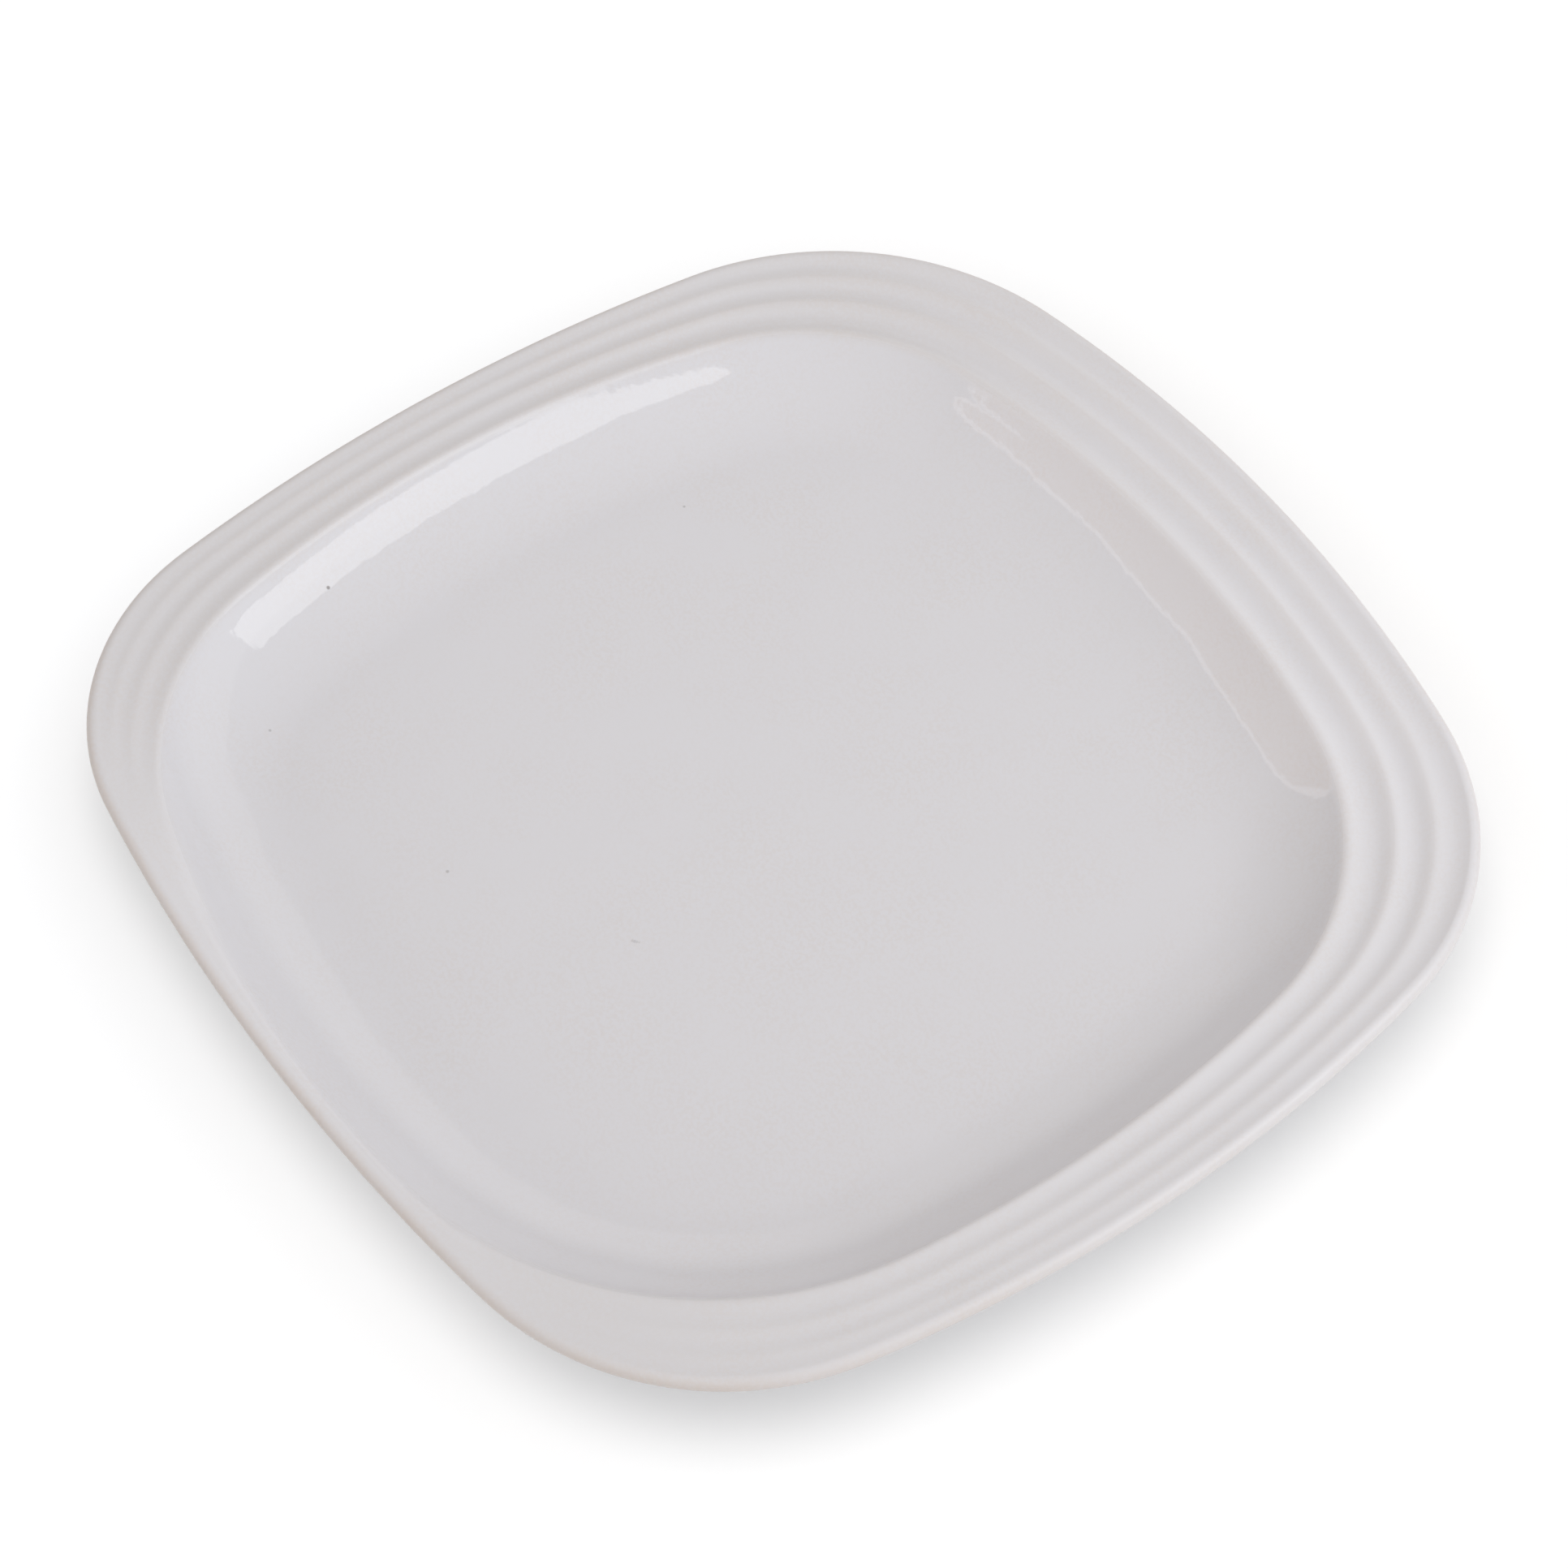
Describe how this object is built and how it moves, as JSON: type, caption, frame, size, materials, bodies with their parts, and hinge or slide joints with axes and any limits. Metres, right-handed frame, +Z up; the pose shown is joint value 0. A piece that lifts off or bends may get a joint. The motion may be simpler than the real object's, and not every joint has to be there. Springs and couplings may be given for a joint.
{
  "type": "square dinner plate",
  "caption": "Square stoneware dinner plate in pale grey glaze, with a deep rounded well and flutes round the rim that narrow and run out along one side.",
  "frame": {"origin": "on the plane the foot ring stands on, under the middle of the plate's outline", "axes": "+Z up out of the well, -Y towards the front side where the flutes run out, +X to the right of it"},
  "size_m": [0.27, 0.27, 0.024],
  "materials": {
    "stoneware": "matt, bare fired clay",
    "grey_glaze": "glossy"
  },
  "bodies": {
    "root": {"stoneware_body": "stoneware", "face_glaze": "grey_glaze", "base_glaze": "grey_glaze"}
  },
  "joints": []
}
